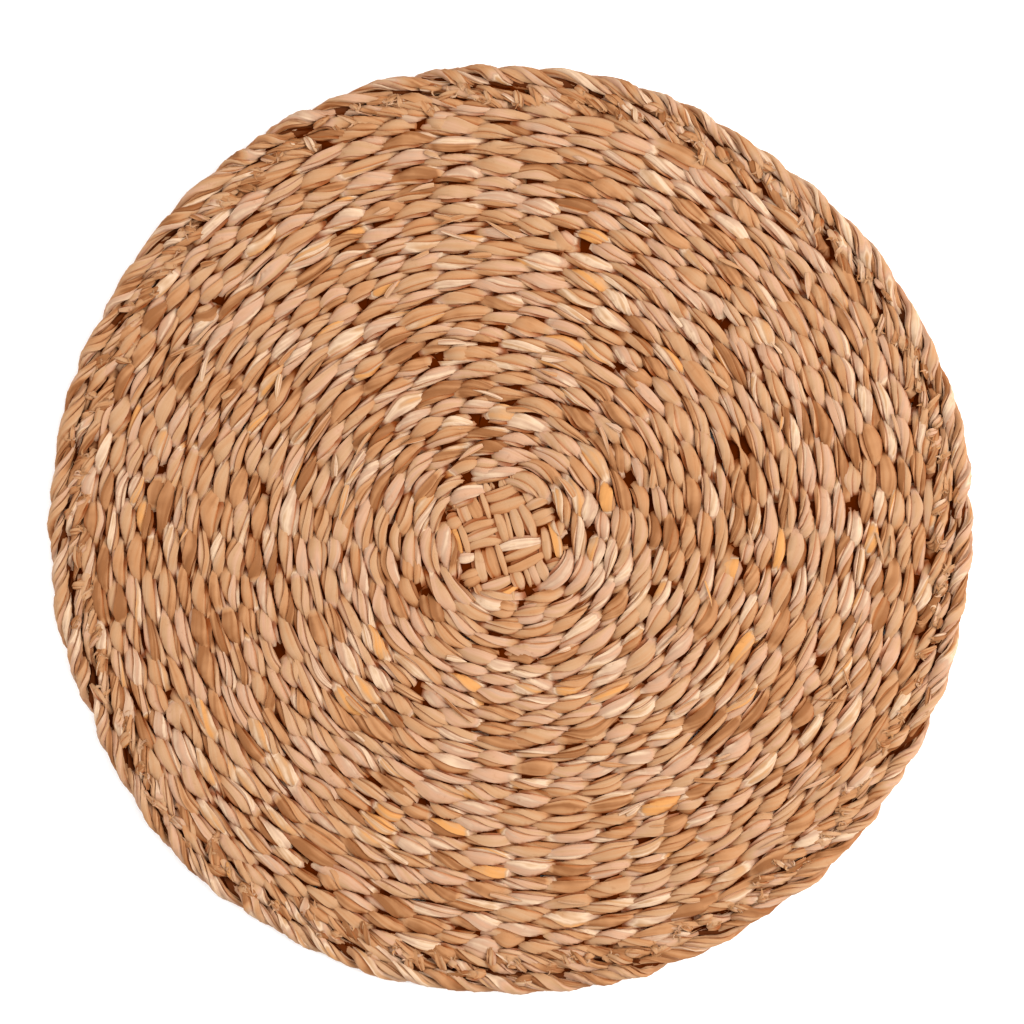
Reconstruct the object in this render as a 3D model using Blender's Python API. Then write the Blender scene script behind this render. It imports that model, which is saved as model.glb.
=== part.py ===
"""A round seagrass placemat: a plaited centre of crossed spokes, a field of spiral weft woven
over and under the spokes that fan out of it, and a rope-like border. Metres, +Z up, lying on z = 0,
with the origin under the middle of its bounding box."""

import math
import random

import bpy

MM = 0.001
FULL_TURN = 2 * math.pi

# Whole mat
MAT_RADIUS = 190 * MM
PIECE_GAP = 0.35 * MM
SEED = 11

# How far the outline strays from a circle: waves around the mat, height of each wave, angle of its crest
OUTLINE_WAVES = (
    # waves, height in mm, crest in degrees
    (2, 0.74, -66),
    (3, 0.88, -6),
    (4, 0.36, 28),
    (5, 0.51, 19),
    (7, 0.34, 19),
    (10, 0.34, 4),
    (12, 0.27, 12),
)

# Plaited centre: four lanes of strands each way, crossing over and under each other. A lane's edges are in
# shares of the plait's half width, from left to right and from bottom to top along its own turned axes.
UPRIGHT_LANE_EDGES = (-1.0, -0.72, -0.13, 0.61, 1.0)
UPRIGHT_LANE_STRANDS = (2, 3, 4, 2)
LEVEL_LANE_EDGES = (-1.0, -0.65, -0.05, 0.52, 1.0)
LEVEL_LANE_STRANDS = (2, 3, 3, 2)
STEPS_IN_STRAND = 3
PLAIT_RADIUS = 21 * MM
PLAIT_TURN = math.radians(18)
PLAIT_SQUARENESS = 3.0
PLAIT_SHIFT_X = -1.8 * MM
PLAIT_SHIFT_Y = -3.5 * MM
PLAIT_SHIFT_REACH = 120 * MM
SQUARENESS_REACH = 16 * MM
PLAIT_CREST = 9.2 * MM
PLAIT_TROUGH = 5.6 * MM
PLAIT_FULLNESS = 0.6

# Woven field: one weft that spirals outwards, over one spoke and under the next
ROW_PITCH = 3.4 * MM
FIRST_ROW = PLAIT_RADIUS + PIECE_GAP + 1.6 * MM
LAST_ROW = 168.4 * MM
FIELD_RADIUS = 172 * MM
FIELD_CREST = 8.6 * MM
FIELD_TROUGH = 5.2 * MM
FIELD_EDGE = 6.4 * MM
CREST_SPREAD = 0.45 * MM
FIRST_SPOKES = 11
SPOKE_SPACING_INNER = 13.0 * MM
SPOKE_SPACING_OUTER = 15.6 * MM
FULL_SPACING_RADIUS = 100 * MM
SPOKE_LEAN = math.tan(math.radians(-7))
SPOKE_EASE = 0.5
SETTLING_PASSES = 3
SAME_SPOKE = 0.4
FIELD_EDGE_POINTS = 126

# Border: a rope of slanted strands along the rim, and the cut spoke ends just inside it
RIM_LOBES = 63
RIM_STRANDS = 4
POINTS_IN_LOBE = 4
ROPE_RADIUS = 184.0 * MM
ROPE_HALF_WIDTH = 5.6 * MM
ROPE_HALF_HEIGHT = 5.0 * MM
ROPE_MIDDLE = 4.5 * MM
ROPE_RELIEF = 0.13
RELIEF_SPREAD = 0.35
ROPE_STEP = math.radians(22.5)
ROPE_FIRST_STEP = math.radians(168.75)
ROPE_STEPS = 9
ROPE_FOOT = 3.4 * MM
BAND_HEIGHT = 6.0 * MM
STUB_RADIUS = 176.0 * MM
STUB_HEIGHT_LEAST = 0.8 * MM
STUB_HEIGHT_MOST = 2.2 * MM

# Finish
FIELD_COLOUR = (0.52, 0.27, 0.13, 1.0)
PLAIT_COLOUR = (0.56, 0.31, 0.15, 1.0)
RIM_COLOUR = (0.50, 0.25, 0.11, 1.0)
LEAF_ROUGHNESS = 0.72
SMOOTH_BELOW = math.radians(40)


def clear_scene():
    for old in list(bpy.data.objects):
        bpy.data.objects.remove(old, do_unlink=True)


def seagrass_material(name, colour):
    material = bpy.data.materials.new(name)
    material.use_nodes = True
    shader = material.node_tree.nodes["Principled BSDF"]
    shader.inputs["Base Color"].default_value = colour
    shader.inputs["Roughness"].default_value = LEAF_ROUGHNESS
    shader.inputs["Metallic"].default_value = 0.0
    return material


def add_piece(name, points, faces, colour):
    """One closed solid as an object of its own, shaded smooth but for its sharp edges."""
    mesh = bpy.data.meshes.new(name)
    mesh.from_pydata(points, [], faces)
    mesh.materials.append(seagrass_material(name + "_seagrass", colour))
    mesh.shade_smooth()
    mesh.set_sharp_from_angle(angle=SMOOTH_BELOW)
    piece = bpy.data.objects.new(name, mesh)
    bpy.context.scene.collection.objects.link(piece)
    return piece


def outline_offset(angle):
    """How far the rim lies outside a true circle at this angle."""
    total = 0.0
    for waves, height, crest in OUTLINE_WAVES:
        total += height * MM * math.cos(waves * (angle - math.radians(crest)))
    return total


def plait_outline(angle):
    """Distance from the plait's middle to its rounded-square edge."""
    turned = angle - PLAIT_TURN
    across = abs(math.cos(turned)) ** PLAIT_SQUARENESS
    along = abs(math.sin(turned)) ** PLAIT_SQUARENESS
    return PLAIT_RADIUS / (across + along) ** (1 / PLAIT_SQUARENESS)


def plan_point(radius, angle):
    """Where a round mat's point lies on this one: its plait is square and off centre, its rim uneven."""
    beyond = max(0.0, radius - PLAIT_RADIUS)
    squared = (plait_outline(angle) - PLAIT_RADIUS) * math.exp(-beyond / SQUARENESS_REACH)
    stretched = radius + squared + outline_offset(angle) * (radius / MAT_RADIUS) ** 2
    shift = max(0.0, 1 - beyond / PLAIT_SHIFT_REACH)
    x = PLAIT_SHIFT_X * shift + stretched * math.cos(angle)
    y = PLAIT_SHIFT_Y * shift + stretched * math.sin(angle)
    return x, y


def spokes_wanted(radius):
    """The odd number of spokes that keeps their spacing as the field grows."""
    part = (radius - PLAIT_RADIUS) / (FULL_SPACING_RADIUS - PLAIT_RADIUS)
    opened = min(1.0, max(0.0, part))
    spacing = SPOKE_SPACING_INNER + opened * (SPOKE_SPACING_OUTER - SPOKE_SPACING_INNER)
    return 2 * round((FULL_TURN * radius / spacing - 1) / 2) + 1


def add_spoke_pair(spokes):
    """Sets two new spokes side by side in the widest gap, which leaves every other crossing as it was."""
    following = spokes[1:] + [spokes[0] + FULL_TURN]
    gaps = [after - before for before, after in zip(spokes, following)]
    widest = gaps.index(max(gaps))
    third = gaps[widest] / 3
    pair = [spokes[widest] + third, spokes[widest] + 2 * third]
    return spokes[: widest + 1] + pair + spokes[widest + 1 :]


def eased_spokes(spokes, lean):
    """The spokes one row further out: each drifts to the middle of its gap, and all lean the same way."""
    before = [spokes[-1] - FULL_TURN] + spokes[:-1]
    after = spokes[1:] + [spokes[0] + FULL_TURN]
    eased = []
    for left, own, right in zip(before, spokes, after):
        eased.append(own + SPOKE_EASE * ((left + right) / 2 - own) + lean)
    return eased


def weft_crossings():
    """Every crossing of weft and spoke, along the spiral: total angle, radius and whether the weft is on top.
    Also gives the number of crossings before the second turn and before the last one."""
    spokes = [FULL_TURN * number / FIRST_SPOKES for number in range(FIRST_SPOKES)]
    crossings = []
    turn_starts = []
    turn_radius = FIRST_ROW
    on_top = True
    while turn_radius < LAST_ROW:
        turn = len(turn_starts)
        turn_starts.append(len(crossings))
        for angle in spokes:
            radius = turn_radius + ROW_PITCH * angle / FULL_TURN
            crossings.append((turn * FULL_TURN + angle, radius, on_top))
            on_top = not on_top
        turn_radius += ROW_PITCH
        spokes = eased_spokes(spokes, SPOKE_LEAN * ROW_PITCH / turn_radius)
        while len(spokes) < spokes_wanted(turn_radius):
            spokes = add_spoke_pair(spokes)
            for _ in range(SETTLING_PASSES):
                spokes = eased_spokes(spokes, 0.0)
    closing_angle = spokes[0] + len(turn_starts) * FULL_TURN
    crossings.append((closing_angle, turn_radius, on_top))
    return crossings, turn_starts[1], turn_starts[-1]


def fill_between(inner, outer, points, faces):
    """Triangles that face up between two rows of (angle, point), both running anticlockwise. Where both rows
    step to the same spoke, the cross edge joins the lower corners: each high point is a bump of its own."""
    a = 0
    b = 0
    while a < len(inner) - 1 or b < len(outer) - 1:
        inner_next = inner[a + 1][0] if a < len(inner) - 1 else math.inf
        outer_next = outer[b + 1][0] if b < len(outer) - 1 else math.inf
        step_inner = inner_next <= outer_next
        if abs(inner_next - outer_next) < SAME_SPOKE * (inner_next - inner[a][0]):
            from_inner = points[inner[a + 1][1]][2] + points[outer[b][1]][2]
            from_outer = points[inner[a][1]][2] + points[outer[b + 1][1]][2]
            step_inner = from_inner <= from_outer
        if step_inner:
            faces.append((inner[a][1], outer[b][1], inner[a + 1][1]))
            a += 1
        else:
            faces.append((inner[a][1], outer[b][1], outer[b + 1][1]))
            b += 1


def ring_from(ring, start):
    """A closed ring of (angle, point) as a row that begins at or after an angle and ends one turn on."""
    turns = math.floor((start - ring[0][0]) / FULL_TURN)
    unrolled = [(angle + (turns + lap) * FULL_TURN, point) for lap in (0, 1, 2) for angle, point in ring]
    first = next(place for place, (angle, _) in enumerate(unrolled) if angle >= start)
    return unrolled[first : first + len(ring) + 1]


def lane_lines(edges, strands):
    """Grid lines over the lanes of one way: where each lies, its lane and its part of the lane's width."""
    lines = []
    for lane, count in enumerate(strands):
        steps = count * STEPS_IN_STRAND
        width = edges[lane + 1] - edges[lane]
        for step in range(steps):
            lines.append((edges[lane] + width * step / steps, lane, step / steps))
    lines.append((edges[-1], len(strands) - 1, 1.0))
    return lines


def plait_grid():
    """Grid lines of the plait across its upright lanes and across its level lanes."""
    upright = lane_lines(UPRIGHT_LANE_EDGES, UPRIGHT_LANE_STRANDS)
    level = lane_lines(LEVEL_LANE_EDGES, LEVEL_LANE_STRANDS)
    return upright, level


def on_edge(x_share, y_share):
    return max(abs(x_share), abs(y_share)) == 1.0


def plait_edge_angles():
    """Angles of the points along the plait's edge, anticlockwise."""
    upright, level = plait_grid()
    angles = []
    for x_share, _, _ in upright:
        for y_share, _, _ in level:
            if on_edge(x_share, y_share):
                angles.append((math.atan2(y_share, x_share) + PLAIT_TURN) % FULL_TURN)
    return sorted(angles)


def plait_height(column, right, row, up):
    """Top of the plait: in each square one lane lies on top, arched along its length and ridged across."""
    if (column + row) % 2 == 0:
        lengthwise, crosswise, strands = up, right, UPRIGHT_LANE_STRANDS[column]
    else:
        lengthwise, crosswise, strands = right, up, LEVEL_LANE_STRANDS[row]
    arch = abs(math.sin(math.pi * lengthwise)) ** PLAIT_FULLNESS
    ridges = abs(math.sin(math.pi * strands * crosswise)) ** PLAIT_FULLNESS
    return PLAIT_TROUGH + (PLAIT_CREST - PLAIT_TROUGH) * arch * ridges


def make_centre_plait():
    upright, level = plait_grid()
    points = []
    edge = []
    for x_share, column, right in upright:
        for y_share, row, up in level:
            angle = math.atan2(y_share, x_share) + PLAIT_TURN
            radius = plait_outline(angle) * max(abs(x_share), abs(y_share))
            x = PLAIT_SHIFT_X + radius * math.cos(angle)
            y = PLAIT_SHIFT_Y + radius * math.sin(angle)
            if on_edge(x_share, y_share):
                edge.append((angle, len(points)))
            points.append((x, y, plait_height(column, right, row, up)))
    faces = []
    rows = len(level)
    for across in range(len(upright) - 1):
        for along in range(rows - 1):
            near = across * rows + along
            right = near + rows
            faces.append((near, right, right + 1))
            faces.append((near, right + 1, near + 1))
    edge.sort()
    base = len(points)
    for _, number in edge:
        x, y, _ = points[number]
        points.append((x, y, 0.0))
    middle = len(points)
    points.append((PLAIT_SHIFT_X, PLAIT_SHIFT_Y, 0.0))
    for step, (_, top) in enumerate(edge):
        after = (step + 1) % len(edge)
        top_after = edge[after][1]
        faces.append((base + step, base + after, top_after))
        faces.append((base + step, top_after, top))
        faces.append((middle, base + after, base + step))
    return add_piece("centre_plait", points, faces, PLAIT_COLOUR)


def make_woven_field():
    chance = random.Random(SEED)
    crossings, second_turn, last_turn = weft_crossings()
    points = []
    row = []
    for angle, radius, on_top in crossings:
        height = FIELD_CREST if on_top else FIELD_TROUGH
        row.append((angle, len(points)))
        points.append((*plan_point(radius, angle), height + chance.uniform(-CREST_SPREAD, CREST_SPREAD)))
    faces = []
    one_turn_back = [(angle - FULL_TURN, point) for angle, point in row[second_turn:]]
    fill_between(row[: last_turn + 1], one_turn_back, points, faces)

    def add_ring(radius, angles, height):
        ring = []
        for angle in angles:
            ring.append((angle, len(points)))
            points.append((*plan_point(radius, angle), height))
        return ring

    inner_angles = plait_edge_angles()
    outer_angles = [FULL_TURN * step / FIELD_EDGE_POINTS for step in range(FIELD_EDGE_POINTS)]
    inner_top = add_ring(PLAIT_RADIUS + PIECE_GAP, inner_angles, FIELD_EDGE)
    inner_base = add_ring(PLAIT_RADIUS + PIECE_GAP, inner_angles, 0.0)
    outer_top = add_ring(FIELD_RADIUS, outer_angles, FIELD_EDGE)
    outer_base = add_ring(FIELD_RADIUS, outer_angles, 0.0)

    widest_step = max(after - angle for angle, after in zip(inner_angles, inner_angles[1:]))
    inner_row = ring_from(inner_top, row[0][0] - widest_step)
    fill_between(inner_row, row[: second_turn + 1], points, faces)
    faces.append((inner_row[0][1], row[second_turn][1], row[0][1]))

    outermost = row[last_turn:]
    outer_row = ring_from(outer_top, outermost[0][0])
    fill_between(outermost, outer_row, points, faces)
    faces.append((outermost[0][1], outermost[-1][1], outer_row[0][1]))

    for near, far in ((inner_base, inner_top), (outer_top, outer_base)):
        for step in range(len(near)):
            after = (step + 1) % len(near)
            faces.append((near[step][1], far[step][1], far[after][1]))
            faces.append((near[step][1], far[after][1], near[after][1]))
    underside = []
    fill_between(ring_from(inner_base, 0.0), ring_from(outer_base, 0.0), points, underside)
    faces.extend(tuple(reversed(face)) for face in underside)
    return add_piece("woven_field", points, faces, FIELD_COLOUR)


def rope_section(turn_phase, relief, stub):
    """The border's outline at one place, from the foot of its inner wall over the rope to its outer foot."""
    section = [(FIELD_RADIUS + PIECE_GAP, 0.0)]
    section.append((FIELD_RADIUS + PIECE_GAP, BAND_HEIGHT))
    section.append((STUB_RADIUS, BAND_HEIGHT + stub))
    for step in range(ROPE_STEPS):
        around = ROPE_FIRST_STEP - step * ROPE_STEP
        swell = 1 + relief * math.cos(RIM_STRANDS * around + turn_phase)
        radius = ROPE_RADIUS + ROPE_HALF_WIDTH * swell * math.cos(around)
        section.append((radius, ROPE_MIDDLE + ROPE_HALF_HEIGHT * swell * math.sin(around)))
    section.append((ROPE_RADIUS + ROPE_FOOT, 0.0))
    return section


def make_rim_braid():
    chance = random.Random(SEED)
    reliefs = [ROPE_RELIEF * chance.uniform(1 - RELIEF_SPREAD, 1 + RELIEF_SPREAD) for _ in range(RIM_LOBES)]
    stubs = [chance.uniform(STUB_HEIGHT_LEAST, STUB_HEIGHT_MOST) for _ in range(RIM_LOBES)]
    places = RIM_LOBES * POINTS_IN_LOBE
    points = []
    for place in range(places):
        lobe, part = divmod(place, POINTS_IN_LOBE)
        angle = FULL_TURN * place / places
        stub = stubs[lobe] if part == 0 else 0.0
        for radius, height in rope_section(RIM_LOBES * angle, reliefs[lobe], stub):
            points.append((*plan_point(radius, angle), height))
    size = len(points) // places
    faces = []
    for place in range(places):
        own = place * size
        following = (place + 1) % places * size
        for step in range(size):
            after = (step + 1) % size
            faces.append((own + step, own + after, following + after))
            faces.append((own + step, following + after, following + step))
    return add_piece("rim_braid", points, faces, RIM_COLOUR)


def centre_on_origin(pieces):
    """Moves the pieces' points together, so that the middle of their bounding box is above the origin."""
    points = [vertex.co for piece in pieces for vertex in piece.data.vertices]
    middle_x = (min(point.x for point in points) + max(point.x for point in points)) / 2
    middle_y = (min(point.y for point in points) + max(point.y for point in points)) / 2
    for point in points:
        point.x -= middle_x
        point.y -= middle_y


def main():
    clear_scene()
    pieces = [make_centre_plait(), make_woven_field(), make_rim_braid()]
    centre_on_origin(pieces)


main()
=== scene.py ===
"""A round seagrass placemat, dressed: twisted leaf strands woven over and under fanned spokes, a plaited
centre, a rope-like border with cut spoke ends inside it, and a few stray leaf ends."""

import functools
import math

import bpy
import numpy as np
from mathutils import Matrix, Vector


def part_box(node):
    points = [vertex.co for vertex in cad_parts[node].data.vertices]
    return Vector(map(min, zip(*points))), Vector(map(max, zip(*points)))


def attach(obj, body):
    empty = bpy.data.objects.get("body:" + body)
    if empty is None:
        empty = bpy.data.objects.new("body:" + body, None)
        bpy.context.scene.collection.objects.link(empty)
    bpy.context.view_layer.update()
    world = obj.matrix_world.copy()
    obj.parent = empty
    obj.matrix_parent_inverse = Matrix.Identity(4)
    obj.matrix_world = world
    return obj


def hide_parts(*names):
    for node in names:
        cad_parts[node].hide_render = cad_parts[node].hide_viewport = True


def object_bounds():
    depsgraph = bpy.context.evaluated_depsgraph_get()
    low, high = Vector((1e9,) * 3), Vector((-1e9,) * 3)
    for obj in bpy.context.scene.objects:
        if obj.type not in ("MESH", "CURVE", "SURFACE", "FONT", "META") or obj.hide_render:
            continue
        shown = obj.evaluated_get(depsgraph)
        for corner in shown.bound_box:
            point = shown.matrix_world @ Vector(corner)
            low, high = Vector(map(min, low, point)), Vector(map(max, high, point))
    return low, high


bl_info = {
    "name": "Seagrass placemat",
    "version": (1, 0, 0),
    "blender": (4, 5, 0),
    "location": "3D View > Sidebar > Placemat",
    "description": "Weaves a round seagrass placemat of twisted leaf strands",
    "category": "Object",
}

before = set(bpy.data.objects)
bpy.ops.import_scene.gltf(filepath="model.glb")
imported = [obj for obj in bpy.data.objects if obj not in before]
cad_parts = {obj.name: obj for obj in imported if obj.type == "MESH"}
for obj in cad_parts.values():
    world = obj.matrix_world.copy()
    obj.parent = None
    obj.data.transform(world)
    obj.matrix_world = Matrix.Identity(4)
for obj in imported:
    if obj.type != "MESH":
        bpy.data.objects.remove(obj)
CAD_BOX = [list(corner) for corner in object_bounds()]

MM = 0.001
FULL_TURN = 2 * math.pi
MAT_WIDTH = CAD_BOX[1][0] - CAD_BOX[0][0]
MAT_TOP = CAD_BOX[1][2]
FIELD_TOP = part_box("woven_field")[1].z
PLAIT_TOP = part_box("centre_plait")[1].z

# Where the mat lies in the photograph's frame of 1024 by 1024 pixels
PICTURE_WIDTH_PX = 1024
MAT_MIDDLE_X_PX = 511
MAT_MIDDLE_Y_PX = 529
MAT_WIDTH_PX = 922

# How far the outline strays from a circle: waves around the mat, height of each wave in millimetres and
# angle of its crest in degrees
OUTLINE_WAVES = (
    (2, 0.74, -66),
    (3, 0.88, -6),
    (4, 0.36, 28),
    (5, 0.51, 19),
    (7, 0.34, 19),
    (10, 0.34, 4),
    (12, 0.27, 12),
)


def linear_colour(hex_code):
    """A colour written as sRGB hex, turned to the linear values that a shader takes."""
    channels = [int(hex_code[place : place + 2], 16) / 255 for place in (1, 3, 5)]
    linear = [value / 12.92 if value <= 0.04045 else ((value + 0.055) / 1.055) ** 2.4 for value in channels]
    return (*linear, 1.0)


def length_property(name, description, default):
    """A size in metres for the sidebar."""
    return bpy.props.FloatProperty(
        name=name, description=description, default=default, unit="LENGTH", subtype="DISTANCE", precision=5
    )


def colour_property(name, description, hex_code):
    """A colour for the sidebar."""
    return bpy.props.FloatVectorProperty(
        name=name,
        description=description,
        default=linear_colour(hex_code),
        size=4,
        subtype="COLOR",
        min=0,
        max=1,
    )


def power_property(name, description, default):
    """A light's power in watts for the sidebar."""
    return bpy.props.FloatProperty(name=name, description=description, default=default, unit="POWER")


def turn_property(name, description, degrees):
    """An angle for the sidebar."""
    return bpy.props.FloatProperty(
        name=name, description=description, default=math.radians(degrees), unit="ROTATION"
    )


def count_property(name, description, default):
    """A whole number for the sidebar."""
    return bpy.props.IntProperty(name=name, description=description, default=default)


class PlacematSizes(bpy.types.PropertyGroup):
    """Sizes of the weave, the plait and the border."""

    mat_radius: length_property("Mat radius", "Mean radius over the border", 190 * MM)
    row_pitch: length_property("Row pitch", "How far the weft moves outwards in one turn", 3.4 * MM)
    first_row: length_property("First row", "Radius of the first weft row", 22.95 * MM)
    last_row: length_property("Last row", "Radius past which no new row starts", 173.0 * MM)
    first_spokes: count_property("First spokes", "Spokes under the first row, an odd number", 11)
    spacing_inner: length_property("Inner spacing", "Spoke spacing at the plait", 13.0 * MM)
    spacing_outer: length_property("Outer spacing", "Spoke spacing over most of the field", 15.6 * MM)
    full_spacing_radius: length_property("Full spacing", "Radius where the outer spacing starts", 100 * MM)
    spoke_lean: turn_property("Spoke lean", "Slant of the spokes, anticlockwise", -7)
    weft_lift: length_property("Weft lift", "Height of the weft's middle over a spoke's middle", 2.1 * MM)
    weft_sway: length_property("Weft sway", "How far the weft sways outwards over each spoke", 0.05 * MM)
    weft_width: length_property("Weft width", "Width of the weft where it lies over a spoke", 7.2 * MM)
    weft_waist: length_property("Weft waist", "Width of the weft between two spokes", 5.1 * MM)
    weft_thickness: length_property("Weft thickness", "Thickness of the weft", 3.6 * MM)
    spoke_width: length_property("Spoke width", "Width of a spoke where spokes stand full apart", 9.0 * MM)
    spoke_thickness: length_property("Spoke thickness", "Thickness of a spoke", 1.8 * MM)
    plait_radius: length_property("Plait radius", "Half the width of the plaited centre", 21 * MM)
    plait_turn: turn_property("Plait turn", "Turn of the plait's lanes", 18)
    rope_radius: length_property("Rope radius", "Radius of the outer rope's middle line", 186.4 * MM)
    rope_middle: length_property("Rope middle", "Height of the outer rope's middle line", 4.9 * MM)
    inner_rope_radius: length_property("Inner rope radius", "Radius of the inner rope's line", 180.2 * MM)
    inner_rope_middle: length_property("Inner rope middle", "Height of the inner rope's line", 4.5 * MM)
    rope_lobes: count_property("Rope lobes", "Lobes seen around the border, an odd number", 63)
    rope_rounds: count_property("Rope rounds", "How often a rope's line goes round the mat", 2)
    seed: count_property("Seed", "Picks the weave's unevenness", 11)


class PlacematColours(bpy.types.PropertyGroup):
    """Colours of the dried leaves and of the stage."""

    rust: colour_property("Rust", "Darkest, weathered leaves", "#855937")
    honey: colour_property("Honey", "Common warm leaves", "#A87B56")
    tan: colour_property("Tan", "Commonest leaves", "#AC8969")
    straw: colour_property("Straw", "Pale leaves", "#C6AB90")
    blush: colour_property("Blush", "Pinkish pale leaves", "#B48E74")
    amber: colour_property("Amber", "Yellow-orange leaves", "#BE8954")
    ash: colour_property("Ash", "Greyish leaves", "#AB8C75")
    # Painted shade: the deep red-brown laid on the strands' flanks and where they lie deep between the
    # strands
    crevice_shade: colour_property("Crevice", "Leaf deep between strands", "#7C3706")
    # Painted shadow: the near-black brown laid on the spokes and on the strands far down between the strands
    depth: colour_property("Depth", "Spokes far down between the strands", "#4E1F02")
    # A tucked leaf edge: partly a drier, darker edge, partly painted shade from the leaf lapped over it
    seam: colour_property("Seam", "Leaf edge tucked under the next leaf", "#9A5A2C")
    fibre: colour_property("Fibre", "Dark fibres along a leaf", "#9A6438")
    pith: colour_property("Pith", "Cut ends of the spokes", "#8C6440")
    floor: colour_property("Floor", "The surface that the mat lies on", "#FFFFFF")


class PlacematStage(bpy.types.PropertyGroup):
    """Camera and lights."""

    lens_mm: bpy.props.FloatProperty(name="Lens", description="Focal length in millimetres", default=100)
    key_power: power_property("Key power", "Power of the right light", 24)
    fill_power: power_property("Fill power", "Power of the left light", 8)
    top_power: power_property("Top power", "Power of the light above", 2)
    world_strength: bpy.props.FloatProperty(
        name="World strength", description="Strength of the white surroundings", default=0.7
    )


def outline_offset(angle):
    """How far the rim lies outside a true circle at each angle."""
    total = np.zeros_like(angle)
    for waves, height, crest in OUTLINE_WAVES:
        total += height * MM * np.cos(waves * (angle - math.radians(crest)))
    return total


# How far the plait lies off the mat's middle, how far out the rows follow it, and how square it and the
# rows next to it are
PLAIT_SHIFT = np.array([-1.8 * MM, -3.5 * MM])
PLAIT_SHIFT_REACH = 120 * MM
PLAIT_SQUARENESS = 3.0
SQUARENESS_REACH = 16 * MM


def mat_middle():
    """The middle of the round layout: the plait's box gives it, since the plait lies a known way off it."""
    low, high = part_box("centre_plait")
    return (np.array(low[:2]) + np.array(high[:2])) / 2 - PLAIT_SHIFT


def plan_points(sizes, radius, angle):
    """Where a round mat's points lie on this one: its plait is square and off centre, its rim uneven."""
    turned = angle - sizes.plait_turn
    square = np.abs(np.cos(turned)) ** PLAIT_SQUARENESS + np.abs(np.sin(turned)) ** PLAIT_SQUARENESS
    plait_edge = sizes.plait_radius / square ** (1 / PLAIT_SQUARENESS)
    beyond = np.maximum(0.0, radius - sizes.plait_radius)
    squared = (plait_edge - sizes.plait_radius) * np.exp(-beyond / SQUARENESS_REACH)
    stretched = radius + squared + outline_offset(angle) * (radius / sizes.mat_radius) ** 2
    shift = np.maximum(0.0, 1 - beyond / PLAIT_SHIFT_REACH)
    middle = mat_middle()
    x = middle[0] + PLAIT_SHIFT[0] * shift + stretched * np.cos(angle)
    y = middle[1] + PLAIT_SHIFT[1] * shift + stretched * np.sin(angle)
    return x, y


def points_at(sizes, radius, angle, height):
    """Points in space from radius, angle and height."""
    x, y = plan_points(sizes, radius, angle)
    return np.stack([x, y, np.broadcast_to(height, x.shape)], axis=1)


def spokes_wanted(sizes, radius):
    """The odd number of spokes that keeps their spacing as the field grows."""
    part = (radius - sizes.plait_radius) / (sizes.full_spacing_radius - sizes.plait_radius)
    opened = min(1.0, max(0.0, part))
    spacing = sizes.spacing_inner + opened * (sizes.spacing_outer - sizes.spacing_inner)
    return 2 * round((FULL_TURN * radius / spacing - 1) / 2) + 1


# How much a spoke drifts to the middle of its gap in one row, and how often new spokes are settled
SPOKE_EASE = 0.5
SETTLING_PASSES = 3
# Where a spoke is set in, the weft moves inwards by this share of a row and is wider by this factor
NEW_SPOKE_MOVE = 0.25
NEW_SPOKE_WIDTH = 1.3


def eased(angles, lean):
    """The spokes one row further out: each drifts to the middle of its gap, and all lean the same way."""
    before = np.concatenate([[angles[-1] - FULL_TURN], angles[:-1]])
    after = np.concatenate([angles[1:], [angles[0] + FULL_TURN]])
    return angles + SPOKE_EASE * ((before + after) / 2 - angles) + lean


class Weave:
    """The crossings of weft and spokes, and the line of every spoke, worked out turn by turn."""

    def __init__(self, sizes):
        angles = np.arange(sizes.first_spokes) * FULL_TURN / sizes.first_spokes
        names = list(range(sizes.first_spokes))
        radius = sizes.first_row
        self.crossing_angles = []
        self.crossing_radii = []
        self.spoke_crossings = {name: [] for name in names}
        self.spoke_lines = {name: [] for name in names}
        turn = 0
        while radius < sizes.last_row:
            for name, angle in zip(names, angles):
                at = radius + sizes.row_pitch * angle / FULL_TURN
                self.spoke_crossings[name].append(len(self.crossing_angles))
                self.crossing_angles.append(turn * FULL_TURN + angle)
                self.crossing_radii.append(at)
                self.spoke_lines[name].append((at, angle))
            turn += 1
            radius += sizes.row_pitch
            angles = eased(angles, math.tan(sizes.spoke_lean) * sizes.row_pitch / radius)
            while len(names) < spokes_wanted(sizes, radius):
                gaps = np.diff(np.concatenate([angles, [angles[0] + FULL_TURN]]))
                widest = int(np.argmax(gaps))
                for share in (1, 2):
                    name = len(self.spoke_lines)
                    self.spoke_lines[name] = []
                    self.spoke_crossings[name] = []
                    names.insert(widest + share, name)
                third = gaps[widest] / 3
                pair = [angles[widest] + third, angles[widest] + 2 * third]
                angles = np.concatenate([angles[: widest + 1], pair, angles[widest + 1 :]])
                for _ in range(SETTLING_PASSES):
                    angles = eased(angles, 0.0)
        self.crossing_angles.append(turn * FULL_TURN + angles[0])
        self.crossing_radii.append(radius)

    def packed(self, strays, row_pitch):
        """How far each crossing moves and widens to fill the room between the two rows next to it: its
        neighbours on the spoke go the other way through the weave, and the weft reaches to their strays."""
        moves = np.zeros(len(strays))
        widths = np.ones(len(strays))
        for crossings in self.spoke_crossings.values():
            moves[crossings[:1]] = -NEW_SPOKE_MOVE * row_pitch
            widths[crossings[:1]] = NEW_SPOKE_WIDTH
            inner, here, outer = crossings[:-2], crossings[1:-1], crossings[2:]
            moves[here] = (strays[inner] + strays[outer]) / 2
            widths[here] = 1 + (strays[outer] - strays[inner]) / (2 * row_pitch)
        return moves, widths


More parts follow.
